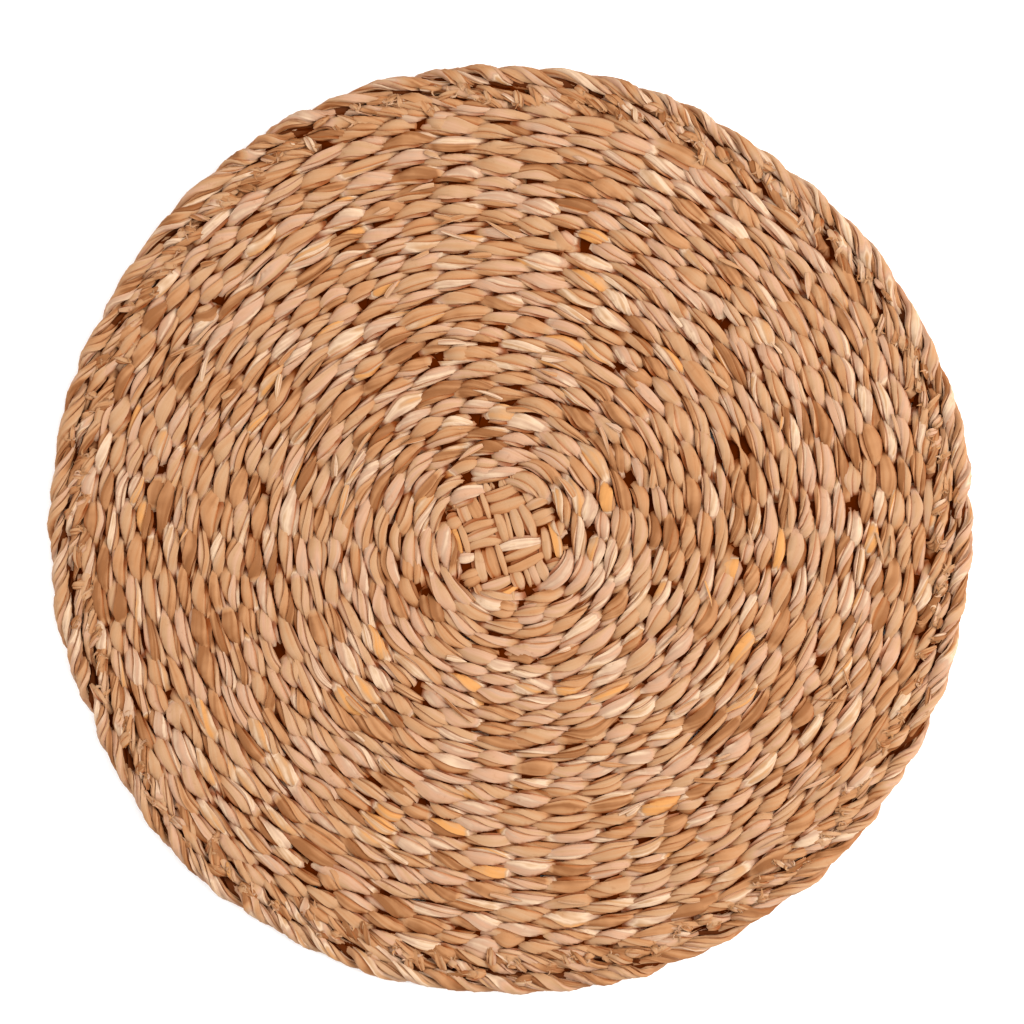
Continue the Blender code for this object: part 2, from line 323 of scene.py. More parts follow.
def between(values, at):
    """Values given at whole steps, read smoothly between them (a Catmull-Rom curve)."""
    values = np.asarray(values, float)
    last = len(values) - 1
    step = np.clip(np.floor(at).astype(int), 0, last - 1)
    part = at - step
    before, here = values[np.clip(step - 1, 0, last)], values[step]
    after, beyond = values[step + 1], values[np.clip(step + 2, 0, last)]
    bend = 2 * before - 5 * here + 4 * after - beyond
    twist = 3 * (here - after) + beyond - before
    return here + 0.5 * part * (after - before + part * (bend + part * twist))


def wandering(chance, count, spread, memory=0.6):
    """Chance values with a mean of 0, each partly like the one before."""
    values = chance.normal(0, spread, count)
    for place in range(1, count):
        values[place] = memory * values[place - 1] + math.sqrt(1 - memory**2) * values[place]
    return values


def unit(vectors):
    """The same directions with a length of 1."""
    return vectors / np.maximum(np.linalg.norm(vectors, axis=1, keepdims=True), 1e-12)


# What each point of a strand's line holds, and how many numbers that takes
STRAND_COLUMNS = {
    "side": 3,
    "lift": 3,
    "half_width": 1,
    "half_thickness": 1,
    "turn": 1,
    "run": 1,
    "tints": 3,
    # how much painted shade a strand takes; past 1 it also takes near-black painted shadow
    "sunk": 1,
    "cut": 1,
}


# How far the pattern of one strand starts past the end of the one before
STRAND_GAP = 0.1


class Strands:
    """The lines that strands follow, each point with its frame, widths, twist and tints."""

    def __init__(self):
        self.centres = []
        self.columns = {name: [] for name in STRAND_COLUMNS}
        self.run_end = 0.0

    def add(self, centres, outward, half_width, half_thickness, turn, tints, sunk=0.0, cut=0.0):
        """One strand. outward is where its broad face looks; tints holds a column for each leaf."""
        count = len(centres)
        ahead = unit(np.gradient(centres, axis=0))
        outward = np.broadcast_to(outward, (count, 3))
        lift = unit(outward - ahead * np.sum(outward * ahead, axis=1, keepdims=True))
        steps = np.linalg.norm(np.diff(centres, axis=0), axis=1)
        run = self.run_end + np.concatenate([[0.0], np.cumsum(steps)])
        self.run_end = run[-1] + STRAND_GAP
        self.centres.append(centres)
        given = {
            "side": np.cross(lift, ahead),
            "lift": lift,
            "half_width": half_width,
            "half_thickness": half_thickness,
            "turn": turn,
            "run": run,
            "tints": tints,
            "sunk": sunk,
            "cut": cut,
        }
        for name, width in STRAND_COLUMNS.items():
            shape = (count, 3) if width == 3 else (count,)
            self.columns[name].append(np.broadcast_to(np.asarray(given[name], float), shape))

    def line_mesh(self, name):
        """All lines as edges of one mesh, with the columns as attributes of its points."""
        mesh = bpy.data.meshes.new(name)
        centres = np.concatenate(self.centres)
        starts = np.cumsum([0] + [len(line) for line in self.centres])
        first_ends = np.concatenate([np.arange(a, b - 1) for a, b in zip(starts, starts[1:])])
        mesh.from_pydata(centres, np.stack([first_ends, first_ends + 1], axis=1), [])
        for column, width in STRAND_COLUMNS.items():
            kind = "FLOAT_VECTOR" if width == 3 else "FLOAT"
            attribute = mesh.attributes.new(column, kind, "POINT")
            values = np.concatenate(self.columns[column]).astype(np.float32).ravel()
            attribute.data.foreach_set("vector" if width == 3 else "value", values)
        return mesh


# Kinds of node that are used often
MATHS = "ShaderNodeMath"
VECTOR_MATHS = "ShaderNodeVectorMath"
STORED = "GeometryNodeStoreNamedAttribute"
NAMED = "GeometryNodeInputNamedAttribute"
NOISE = "ShaderNodeTexNoise"
MAPPED = "ShaderNodeMapRange"


def add_node(tree, kind, inputs=(), **settings):
    """Adds one node with its settings. Its inputs, by place or by name, are values, sockets that feed them,
    or nodes that feed them from their first output."""
    node = tree.nodes.new(kind)
    for name, value in settings.items():
        setattr(node, name, value)
    for socket, source in inputs.items() if isinstance(inputs, dict) else enumerate(inputs):
        if isinstance(source, bpy.types.Node):
            source = source.outputs[0]
        if isinstance(source, bpy.types.NodeSocket):
            tree.links.new(source, node.inputs[socket])
        else:
            node.inputs[socket].default_value = source
    return node


# How much closer a strand's leaves lie on one side, and how much its broad faces are flattened
LEAF_UNEVENNESS = 0.45
FLATNESS = 0.3


def leaf_strand_tree():
    """Sweeps a ring of lapped leaves along each line: every leaf's edge lies a step above the next leaf."""
    tree = bpy.data.node_groups.new("Twisted leaf strand", "GeometryNodeTree")
    tree.is_modifier = True
    for name, kind in (
        ("Geometry", "NodeSocketGeometry"),
        ("Leaves", "NodeSocketInt"),
        ("Points per leaf", "NodeSocketInt"),
        ("Lap", "NodeSocketFloat"),
        ("Leaf material", "NodeSocketMaterial"),
    ):
        tree.interface.new_socket(name, in_out="INPUT", socket_type=kind)
    tree.interface.new_socket("Geometry", in_out="OUTPUT", socket_type="NodeSocketGeometry")
    node = functools.partial(add_node, tree)
    given = node("NodeGroupInput").outputs
    on_points = {"data_type": "FLOAT", "domain": "POINT"}

    # The ring of leaves: each point's leaf, its place across that leaf, its angle and its reach
    index = node("GeometryNodeInputIndex")
    leaf = node(MATHS, (index, 0.5), operation="ADD")
    leaf = node(MATHS, (leaf, given["Points per leaf"]), operation="DIVIDE")
    leaf = node(MATHS, (leaf,), operation="FLOOR")
    first_point = node(MATHS, (leaf, given["Points per leaf"]), operation="MULTIPLY")
    place = node(MATHS, (index, first_point), operation="SUBTRACT")
    steps = node(MATHS, (given["Points per leaf"], 1), operation="SUBTRACT")
    across = node(MATHS, (place, steps), operation="DIVIDE")
    even = node(MATHS, (leaf, across), operation="ADD")
    even = node(MATHS, (even, given["Leaves"]), operation="DIVIDE")
    even = node(MATHS, (even, FULL_TURN), operation="MULTIPLY")
    sine = node(MATHS, (even,), operation="SINE")
    angle = node(MATHS, (sine, LEAF_UNEVENNESS, even), operation="MULTIPLY_ADD")
    near_edge = node(MATHS, (1, across), operation="SUBTRACT")
    near_edge = node(MATHS, (near_edge, 3), operation="POWER")
    lapped = node(MATHS, (given["Lap"], near_edge), operation="MULTIPLY")
    reach = node(MATHS, (1, lapped), operation="SUBTRACT")
    points = node(MATHS, (given["Leaves"], given["Points per leaf"]), operation="MULTIPLY")
    ring = node("GeometryNodeCurvePrimitiveCircle", {"Radius": 1.0, "Resolution": points}, mode="RADIUS")
    for name, value in (("leaf", leaf), ("across", across), ("angle", angle), ("reach", reach)):
        ring = node(STORED, {"Geometry": ring, "Name": name, "Value": value}, **on_points)

    # The sweep
    position = node("GeometryNodeInputPosition")
    lines = node("GeometryNodeMeshToCurve", {"Mesh": given["Geometry"]})
    lines = node(
        STORED,
        {"Geometry": lines, "Name": "centre", "Value": position},
        data_type="FLOAT_VECTOR",
        domain="POINT",
    )
    swept = node("GeometryNodeCurveToMesh", {"Curve": lines, "Profile Curve": ring, "Fill Caps": True})

    # Each point's place from its line's frame
    angle, turn, reach, half_width, half_thickness, leaf = (
        node(NAMED, {"Name": name}, data_type="FLOAT")
        for name in ("angle", "turn", "reach", "half_width", "half_thickness", "leaf")
    )
    centre, side, lift, tints = (
        node(NAMED, {"Name": name}, data_type="FLOAT_VECTOR") for name in ("centre", "side", "lift", "tints")
    )
    turned = node(MATHS, (angle, turn), operation="ADD")
    rise = node(MATHS, (turned,), operation="SINE")
    rise_squared = node(MATHS, (rise, rise), operation="MULTIPLY")
    flattened = node(MATHS, (rise_squared, -FLATNESS, 1 + FLATNESS), operation="MULTIPLY_ADD")
    sideways = node(MATHS, (turned,), operation="COSINE")
    for factor in (reach, half_width):
        sideways = node(MATHS, (sideways, factor), operation="MULTIPLY")
    upwards = rise
    for factor in (flattened, reach, half_thickness):
        upwards = node(MATHS, (upwards, factor), operation="MULTIPLY")
    offset = centre
    for direction, distance in ((side, sideways), (lift, upwards)):
        step = node(VECTOR_MATHS, {"Vector": direction, "Scale": distance}, operation="SCALE")
        offset = node(VECTOR_MATHS, (offset, step), operation="ADD")
    # flank: how far a point lies towards the strand's side, where the leaf material paints shade
    flank = node(MATHS, (rise,), operation="ABSOLUTE")
    flank = node(MATHS, (1, flank), operation="SUBTRACT")
    swept = node(STORED, {"Geometry": swept, "Name": "flank", "Value": flank}, **on_points)
    placed = node("GeometryNodeSetPosition", {"Geometry": swept, "Position": offset})

    # Each leaf's own tint
    columns = node("ShaderNodeSeparateXYZ", (tints,)).outputs
    tint = columns[0]
    for number in (1, 2):
        chosen = node(MATHS, (leaf, number - 0.5), operation="GREATER_THAN")
        difference = node(MATHS, (columns[number], tint), operation="SUBTRACT")
        tint = node(MATHS, (chosen, difference, tint), operation="MULTIPLY_ADD")
    tinted = node(STORED, {"Geometry": placed, "Name": "tint", "Value": tint}, **on_points)
    whole = node("GeometryNodeRealizeInstances", (tinted,))
    dressed = node("GeometryNodeSetMaterial", {"Geometry": whole, "Material": given["Leaf material"]})
    node("NodeGroupOutput", (dressed,))
    return tree


KEPT_ATTRIBUTES = ("position", "run", "across", "leaf", "flank", "tint", "sunk", "cut")
SHARP_ABOVE = math.radians(50)


def sweep(name, strands, material, leaves=3, points_per_leaf=5, lap=0.44):
    """Turns the strands' lines into one mesh piece with the node tree, and has it ride on the mat."""
    tree = bpy.data.node_groups.get("Twisted leaf strand") or leaf_strand_tree()
    guide = bpy.data.objects.new(name + "_lines", strands.line_mesh(name + "_lines"))
    bpy.context.scene.collection.objects.link(guide)
    modifier = guide.modifiers.new("Strands", "NODES")
    modifier.node_group = tree
    inputs = {"Leaves": leaves, "Points per leaf": points_per_leaf, "Lap": lap, "Leaf material": material}
    for item in tree.interface.items_tree:
        if item.in_out == "INPUT" and item.name in inputs:
            modifier[item.identifier] = inputs[item.name]
    graph = bpy.context.evaluated_depsgraph_get()
    mesh = bpy.data.meshes.new_from_object(guide.evaluated_get(graph), depsgraph=graph)
    bpy.data.objects.remove(guide)
    mesh.name = name
    for attribute in [a.name for a in mesh.attributes]:
        if attribute not in KEPT_ATTRIBUTES and not attribute.startswith((".", "sharp", "material")):
            mesh.attributes.remove(mesh.attributes[attribute])
    mesh.shade_smooth()
    mesh.set_sharp_from_angle(angle=SHARP_ABOVE)
    piece = bpy.data.objects.new(name, mesh)
    bpy.context.scene.collection.objects.link(piece)
    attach(piece, "root")
    return piece


# Patterns that run along a leaf: their length, how many lie across a leaf, how far apart they are from
# leaf to leaf, how often they change over a metre, and the noise's detail and roughness. A real leaf's
# fibres are finer than the render shows, so they are drawn as coarse as they need to be.
FIBRES = (14 * MM, 9, 7.3, 1 / (160 * MM), 3.0, 0.6)
STREAKS = (45 * MM, 2.6, 3.7, 0.0, 1.5, 0.5)
# Patterns in the mat as a whole: their size, and the noise's detail and roughness
PATCHES = (9 * MM, 2.0, 0.5)
STAINS = (4 * MM, 3.0, 0.65)


def dried_leaf_material(name, colours):
    """Sun-dried seagrass leaf, twisted and woven by hand: a matt, waxy surface with fine fibres along each
    blade, tints from rust to straw from leaf to leaf, painted shade in deep red-brown on the strands' flanks
    and down between the strands, and near-black painted shadow on the spokes and strands that lie far down."""
    material = bpy.data.materials.new(name)
    material.use_nodes = True
    tree = material.node_tree
    shader = tree.nodes["Principled BSDF"]
    node = functools.partial(add_node, tree)
    run, across, leaf, flank, own_tint, sunk, cut = (
        node("ShaderNodeAttribute", attribute_name=which).outputs["Fac"]
        for which in ("run", "across", "leaf", "flank", "tint", "sunk", "cut")
    )
    place = node("ShaderNodeTexCoord").outputs["Object"]
    patterns = []
    for length, number, leaf_step, change, detail, roughness in (FIBRES, STREAKS):
        next_leaf = node(MATHS, (leaf, leaf_step), operation="MULTIPLY")
        sockets = (
            node(MATHS, (run, 1 / length), operation="MULTIPLY"),
            node(MATHS, (across, number, next_leaf), operation="MULTIPLY_ADD"),
            node(MATHS, (run, change), operation="MULTIPLY"),
        )
        along_leaf = node("ShaderNodeCombineXYZ", sockets)
        look = {"Vector": along_leaf, "Scale": 1.0, "Detail": detail, "Roughness": roughness}
        patterns.append(node(NOISE, look))
    for size, detail, roughness in (PATCHES, STAINS):
        look = {"Vector": place, "Scale": 1 / size, "Detail": detail, "Roughness": roughness}
        patterns.append(node(NOISE, look))
    fibres, streaks, patches, stains = patterns

    # The leaf's own colour
    shade = own_tint
    for pattern, strength in ((patches, 0.3), (streaks, 0.7)):
        lighter = node(MATHS, (pattern, 0.5), operation="SUBTRACT")
        shade = node(MATHS, (lighter, strength, shade), operation="MULTIPLY_ADD")
    ramp = node("ShaderNodeValToRGB", (shade,))
    stops = (
        (0.0, colours.rust),
        (0.18, colours.honey),
        (0.42, colours.tan),
        (0.56, colours.blush),
        (0.65, colours.ash),
        (0.76, colours.straw),
        (0.86, colours.tan),
        (1.0, colours.amber),
    )
    while len(ramp.color_ramp.elements) < len(stops):
        ramp.color_ramp.elements.new(0.5)
    for element, (position, colour) in zip(ramp.color_ramp.elements, stops):
        element.position = position
        element.color = colour

    # What darkens it: fibres and stains; its tucked edge, drier and in painted shade; painted shade by how
    # deep it lies between the strands
    height = node("ShaderNodeSeparateXYZ", (place,)).outputs[2]
    depth = node(MATHS, (height, FIELD_TOP / 2), operation="SUBTRACT")
    depth = node(MATHS, (depth,), operation="ABSOLUTE")
    dark_fibres, stained, tucked, flank_shade, inside = (
        node(MAPPED, inputs)
        for inputs in (
            # what is read, from which range, and what that range is turned to
            (fibres, 0.36, 0.6, 0.16, 0.0),
            (stains, 0.62, 0.8, 0.0, 0.45),
            # the tucked leaf edge: a drier edge, and painted shade under the leaf over it
            (across, 0.0, 0.17, 0.7, 0.0),
            # painted shade on the strands' flanks
            (flank, 0.4, 0.9, 0.0, 0.7),
            # painted shade where a strand lies deep, near the field's middle height
            (depth, 0.1 * MM, 0.9 * MM, 0.8, 0.0),
        )
    )
    # Painted shade on flanks and deep parts, scaled by the strand's shade weight
    shade_share = node(MATHS, (flank_shade, inside), operation="MAXIMUM")
    shade_share = node(MATHS, (sunk, shade_share), operation="MULTIPLY")
    # Near-black painted shadow where the strand's shade weight passes 1
    shadow_share = node(MATHS, (sunk, 1), operation="SUBTRACT")
    shadow_share = node(MATHS, (shadow_share, 0), operation="MAXIMUM")
    colour = ramp.outputs["Color"]
    for share, laid_over in (
        (dark_fibres, colours.fibre),
        (stained, colours.rust),
        (tucked, colours.seam),
        (shade_share, colours.crevice_shade),
        (shadow_share, colours.depth),
        (cut, colours.pith),
    ):
        mix = node("ShaderNodeMix", {0: share, 6: colour, 7: tuple(laid_over)}, data_type="RGBA")
        colour = mix.outputs[2]

    # Waxy where it is seen, dull under the painted shade and shadow
    most_shaded = node(MATHS, (shade_share, shadow_share), operation="MAXIMUM")
    gloss = node(MAPPED, (most_shaded, 0.0, 1.0, 0.15, 0.0))
    rough = node(MAPPED, (fibres, 0.0, 1.0, 0.5, 0.72))
    bump = node("ShaderNodeBump", {"Height": fibres, "Strength": 0.3, "Distance": 0.2 * MM})
    for socket, source in (
        ("Base Color", colour),
        ("Roughness", rough.outputs[0]),
        ("Specular IOR Level", gloss.outputs[0]),
        ("Normal", bump.outputs[0]),
    ):
        tree.links.new(source, shader.inputs[socket])
    return material


def matt_material(name, colour):
    """Smooth white paper, uncoated: an even, pale ground with no shine."""
    material = bpy.data.materials.new(name)
    material.use_nodes = True
    shader = material.node_tree.nodes["Principled BSDF"]
    shader.inputs["Base Color"].default_value = colour
    shader.inputs["Roughness"].default_value = 0.9
    return material


def leaf_material(context):
    """The one material of all the leaf strands."""
    name = "Dried seagrass leaf, hand twisted"
    return bpy.data.materials.get(name) or dried_leaf_material(name, context.scene.placemat_colours)


UP = np.array([0.0, 0.0, 1.0])
# Half the thickness of a single loose leaf
LEAF_HALF_THICKNESS = 0.3 * MM
# The weft's steps from one spoke to the next, and its mean twist in radians a metre
STEPS_PER_CROSSING = 8
WEFT_TWIST = 110.0
# Where spokes stand closer than this the weft rises less, down to this share of its lift
FULL_LIFT_GAP = 11 * MM
LEAST_LIFT = 0.6
# How uneven the weft is: the spread, the least and the most of its lift and its widths, as shares, and of
# how far a crossing strays from its row
LIFT_RANGE = (0.07, -0.2, 0.12)
WIDTH_RANGE = (0.04, -0.1, 0.06)
RIPPLE_RANGE = (0.05, -0.1, 0.1)
STRAY_RANGE = (0.75 * MM, -1.5 * MM, 1.5 * MM)
# Tints along a long strand: their middle, spread and memory, then the lowest and the highest
LONG_TINTS = (0.42, 0.25, 0.35)
TINT_LIMITS = (0.02, 0.98)


def held(chance, count, spread, least, most):
    """Chance values around 0, held between two limits."""
    return chance.normal(0, spread, count).clip(least, most)


def leaf_tints(chance, count):
    """Tints of three leaves along a strand, which change from one crossing to the next."""
    middle, spread, memory = LONG_TINTS
    leaves = [middle + wandering(chance, count, spread, memory) for _ in range(3)]
    return np.stack(leaves, axis=1).clip(*TINT_LIMITS)


def short_tints(chance, middle, spread, most):
    """Tints of three leaves that stay the same from end to end of a strand."""
    return chance.normal(middle, spread, 3).clip(TINT_LIMITS[0], most)


def stepped(values, at, soft=0.12):
    """Values that belong to whole steps, changing quickly half-way between two of them."""
    last = len(values) - 1
    step = np.clip(np.floor(at).astype(int), 0, last - 1)
    part = ((at - step - 0.5) / soft + 0.5).clip(0, 1)[:, None]
    return values[step] * (1 - part) + values[step + 1] * part


def weft_strand(sizes, weave, first, last, chance, strands):
    """The weft from one crossing to another, over each even one and under each odd one."""
    at = np.linspace(first, last, (last - first) * STEPS_PER_CROSSING + 1)
    count = len(weave.crossing_angles)
    angles = np.array(weave.crossing_angles)
    gaps = np.gradient(angles) * np.array(weave.crossing_radii)
    lifts = sizes.weft_lift * np.clip(gaps / FULL_LIFT_GAP, LEAST_LIFT, 1.0)
    lifts = lifts * (1 + held(chance, count, *LIFT_RANGE))
    strays = held(chance, count, *STRAY_RANGE)
    nudges, widths = weave.packed(strays, sizes.row_pitch)
    widths = widths + held(chance, count, *WIDTH_RANGE)
    sways = sizes.weft_sway * gaps / sizes.spacing_outer
    shifts = wandering(chance, count, 0.1, 0.2) * np.gradient(angles)
    turns = np.cumsum(chance.normal(WEFT_TWIST, 0.5 * WEFT_TWIST, count) * gaps)
    tints = leaf_tints(chance, count)
    wave = np.cos(np.pi * at)
    height = 0.8 * wave + 0.2 * np.sin(0.5 * np.pi * wave)
    angle = between(angles + shifts, at)
    radius = between(np.array(weave.crossing_radii) + nudges, at) + between(sways, at) * np.sin(np.pi * at)
    centres = points_at(sizes, radius, angle, FIELD_TOP / 2 + between(lifts, at) * height)
    swell = np.abs(wave) ** 1.4
    ripple = between(1 + held(chance, 2 * count, *RIPPLE_RANGE), 2 * at)
    half_width = 0.5 * (sizes.weft_waist + (sizes.weft_width - sizes.weft_waist) * swell)
    half_width = half_width * between(widths, at) * ripple
    half_thickness = 0.5 * sizes.weft_thickness * (1.1 - 0.15 * swell)
    ends = np.clip(np.minimum(at - first, last - at) / 0.5, 0.15, 1.0)
    strands.add(
        centres,
        UP,
        half_width * ends,
        half_thickness * ends,
        between(turns, at),
        stepped(tints, at),
        sunk=1.0,
    )


class PLACEMAT_OT_weft(bpy.types.Operator):
    """Weaves the weft, a strand of three lapped leaves that spirals from the plait to the border"""

    bl_idname = "placemat.weft"
    bl_label = "Weave the weft"

    def execute(self, context):
        sizes = context.scene.placemat_sizes
        weave = Weave(sizes)
        crossings = len(weave.crossing_angles)
        ends = [0, crossings // 3, 2 * crossings // 3, crossings - 1]
        for name, first, last in zip(("weft_inner", "weft_middle", "weft_outer"), ends, ends[1:]):
            strands = Strands()
            weft_strand(sizes, weave, first, last, np.random.default_rng(sizes.seed), strands)
            piece = sweep(name, strands, leaf_material(context))
        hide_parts("woven_field")
        return {"FINISHED"}


# Where a spoke's end turns along the border: radius, share of a lobe and height over the field's middle
BENT_SPOKE_POINTS = (
    (174.5 * MM, 0.15, 1.2 * MM),
    (176.5 * MM, 0.5, 2.4 * MM),
    (179.0 * MM, 0.95, 1.6 * MM),
    (182.0 * MM, 1.4, -0.5 * MM),
)
BENT_SPOKE_SPREAD = 0.5
BENT_SPOKE_THICKNESS = 3.0 * MM
SPOKE_START = 4 * MM
# Tints of a strand that keeps them from end to end: their middle, their spread and the highest
SPOKE_TINTS = (0.25, 0.15, 0.9)
CUT_END_TINTS = (0.28, 0.24, 0.9)
FRAY_TINTS = (0.35, 0.25, 0.95)
STRAY_LEAF_TINTS = (0.45, 0.25, 0.98)


class PLACEMAT_OT_spokes(bpy.types.Operator):
    """Lays the spokes that the weft goes over and under, and turns their ends along the border"""

    bl_idname = "placemat.spokes"
    bl_label = "Lay the spokes"

    def execute(self, context):
        sizes = context.scene.placemat_sizes
        chance = np.random.default_rng(sizes.seed + 1)
        strands = Strands()
        lobe = FULL_TURN / sizes.rope_lobes
        lines = [line for line in Weave(sizes).spoke_lines.values() if line]
        for line in lines:
            radii = [radius for radius, _ in line]
            angles = [angle for _, angle in line]
            inwards = max(sizes.plait_radius - SPOKE_START, radii[0] - 2 * sizes.row_pitch)
            bent_radii, shares, rises = zip(*BENT_SPOKE_POINTS)
            radii = [inwards, *radii, *bent_radii]
            angles = [angles[0], *angles, *(angles[-1] + share * lobe for share in shares)]
            heights = [0.0] * (len(radii) - len(rises)) + list(rises)
            at = np.linspace(0, len(radii) - 1, 2 * len(radii) - 1)
            height = FIELD_TOP / 2 + between(heights, at)
            spacings = [FULL_TURN * radius / spokes_wanted(sizes, radius) for radius in radii]
            spread = [spacing / sizes.spacing_outer for spacing in spacings]
            spread[-len(rises) :] = [BENT_SPOKE_SPREAD] * len(rises)
            centres = points_at(sizes, between(radii, at), between(angles, at), height)
            tints = short_tints(chance, *SPOKE_TINTS)
            ends = np.clip(np.minimum(at, at[-1] - at) / 1.5, 0.3, 1.0)
            bent = np.clip(at - (len(radii) - len(rises) - 1.5), 0, 1)
            thickness = sizes.spoke_thickness + bent * (BENT_SPOKE_THICKNESS - sizes.spoke_thickness)
            strands.add(
                centres,
                UP,
                0.5 * sizes.spoke_width * ends * between(spread, at),
                0.5 * thickness * ends,
                np.cumsum(chance.normal(0.2, 0.1, len(at)) + 0.35 * bent),
                tints,
                # Painted shadow: spokes between the strands are painted near black, less where their ends
                # bend into the border
                sunk=2.0 - bent,
            )
        piece = sweep("spokes", strands, leaf_material(context), points_per_leaf=4)
        return {"FINISHED"}


# The plait's lanes: their edges in shares of its half width, and how many strands lie in each. Upright
# lanes are given from left to right and level lanes from bottom to top, along the plait's turned axes.
UPRIGHT_LANES = ((-1.0, -0.72, -0.13, 0.61, 1.0), (2, 3, 4, 2))
LEVEL_LANES = ((-1.0, -0.65, -0.05, 0.52, 1.0), (2, 3, 3, 2))
# How far the lanes reach past the plait's edge, as a share of its half width
PLAIT_OVERHANG = 1.2
# The strands between the plait's two layers, dark with painted shadow: how many, their reach, their half
# sizes and tints
BED_STRANDS = 8
BED_REACH = 1.1
BED_HALF_WIDTH = 0.2
BED_HALF_THICKNESS = 0.4 * MM
BED_TINTS = (0.1, 0.2, 0.1)
# The tints of the plait's strands, and how common each is
PLAIT_TINTS = (0.22, 0.34, 0.42, 0.66, 0.97)
PLAIT_TINT_SHARES = (0.2, 0.3, 0.3, 0.1, 0.1)


class PLACEMAT_OT_plait(bpy.types.Operator):
    """Plaits the centre: lanes of two to four strands that cross, with strands between them that are painted
    dark as shadow
    """

    bl_idname = "placemat.plait"
    bl_label = "Plait the centre"

    def execute(self, context):
        sizes = context.scene.placemat_sizes
        chance = np.random.default_rng(sizes.seed + 2)
        strands = Strands()
        middle = PLAIT_TOP / 2 - 0.1 * MM
        thickness = 0.5 * (PLAIT_TOP - 1.0 * MM)
        at = np.linspace(-BED_REACH, BED_REACH, 9)
        for place in np.linspace(-1.0, 1.0, BED_STRANDS):
            strands.add(
                plait_points(sizes, 0 * at + place, at * (1 - 0.4 * place ** 2), middle + 0 * at),
                UP,
                BED_HALF_WIDTH * sizes.plait_radius,
                BED_HALF_THICKNESS,
                0.0,
                BED_TINTS,
                sunk=1.9,
            )
        for upright, (edges, counts), (crossed, _) in (
            (True, UPRIGHT_LANES, LEVEL_LANES),
            (False, LEVEL_LANES, UPRIGHT_LANES),
        ):
            knots = [2 * crossed[0] - crossed[1], *crossed, 2 * crossed[-1] - crossed[-2]]
            for lane, count in enumerate(counts):
                first_over = 1 if (lane % 2 == 0) == upright else -1
                shares = np.cumsum([0.0, *chance.uniform(0.65, 1.35, count)])
                cuts = edges[lane] + (edges[lane + 1] - edges[lane]) * shares / shares[-1]
                for low, high in zip(cuts, cuts[1:]):
                    place = (low + high) / 2
                    reach = PLAIT_OVERHANG * (1 - abs(place) ** PLAIT_SQUARENESS) ** (1 / PLAIT_SQUARENESS)
                    along = np.linspace(-reach, reach, 49)
                    crossing = np.interp(along, knots, range(-1, len(crossed) + 1))
                    over = first_over * np.sin(np.pi * crossing)
                    raised = middle + 0.27 * thickness * np.sin(0.5 * np.pi * over)
                    wave = np.sin(1.5 * np.pi * along + chance.uniform(0, 6))
                    place = place + chance.normal(0, 0.03) * wave
                    place = place + chance.normal(0, 0.035) * along
                    u, v = (place, along) if upright else (along, place)
                    strands.add(
                        plait_points(sizes, u, v, raised + chance.normal(0, 0.25) * MM),
                        UP,
                        (high - low) * sizes.plait_radius * (0.42 + 0.24 * np.abs(over) ** 0.7)
                        * np.clip((reach - np.abs(along)) / 0.15, 0.4, 1.0),
                        0.3 * thickness,
                        chance.normal(0, 0.25) + chance.normal(0, 0.5) * along,
                        chance.choice(PLAIT_TINTS, p=PLAIT_TINT_SHARES)
                        + chance.normal(0, 0.05, 3).clip(-0.1, 0.03),
                        sunk=1.0,
                    )
        piece = sweep("plait_strands", strands, leaf_material(context), leaves=2)
        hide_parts("centre_plait")
        return {"FINISHED"}


def plait_points(sizes, u, v, height):
    """Points of the plait, in shares of its half width along its own turned axes."""
    middle = mat_middle() + PLAIT_SHIFT
    cosine, sine = math.cos(sizes.plait_turn), math.sin(sizes.plait_turn)
    x = middle[0] + sizes.plait_radius * (u * cosine - v * sine)
    y = middle[1] + sizes.plait_radius * (u * sine + v * cosine)
    return np.stack([x, y, height], axis=1)


ROPE_STEPS_PER_LOBE = 14
# The two plain strands under the ropes, painted dark as shadow: radius, height, half width and half
# thickness, and their tints
BORDER_CORES = (
    (184.7 * MM, 4.0 * MM, 3.8 * MM, 1.6 * MM),
    (177.2 * MM, 3.4 * MM, 7.0 * MM, 1.4 * MM),
)
CORE_TINTS = (0.2, 0.1, 0.3)
# How far a rope's strands stray from its line, sideways and upwards, then their half width and half
# thickness. The filling rope closes the room inside the outer one.
OUTER_ROPE = (2.5 * MM, 2.4 * MM, 3.2 * MM, 2.0 * MM)
FILLING_ROPE = (1.9 * MM, 1.5 * MM, 2.2 * MM, 1.6 * MM)
INNER_ROPE = (1.8 * MM, 2.0 * MM, 2.7 * MM, 1.7 * MM)


def rope_line(sizes, chance, strands, radius, middle, rope, start=-math.pi / 2):
    """A line that goes round the mat twice until it meets its start. It winds round a circle of this
    radius, once for each lobe, so that its two rounds lie beside each other as two strands do."""
    sideways, upwards, half_width, half_thickness = rope
    turns = sizes.rope_lobes
    at = np.linspace(0, turns, turns * ROPE_STEPS_PER_LOBE + 1)
    uneven = [between(chance.normal(0, 1, turns + 1), at).clip(-1.6, 1.6) for _ in range(3)]
    angle = (at + 0.09 * uneven[0]) * FULL_TURN * sizes.rope_rounds / turns
    around = start - at * FULL_TURN
    out, up = np.cos(around), np.sin(around)
    away = radius + 0.5 * MM * uneven[1] + sideways * out
    height = middle + upwards * np.sign(up) * np.abs(up) ** 0.6
    outward = np.stack([out * np.cos(angle), out * np.sin(angle), up], axis=1)
    strands.add(
        points_at(sizes, away, angle, height),
        outward,
        half_width * (1 + 0.2 * uneven[2]) * (0.5 + 0.5 * up**2),
        half_thickness,
        between(np.cumsum(chance.normal(0.2, 1.2, turns + 1)), at),
        stepped(leaf_tints(chance, turns + 1).clip(0, 0.78), at),
        sunk=0.4,
    )


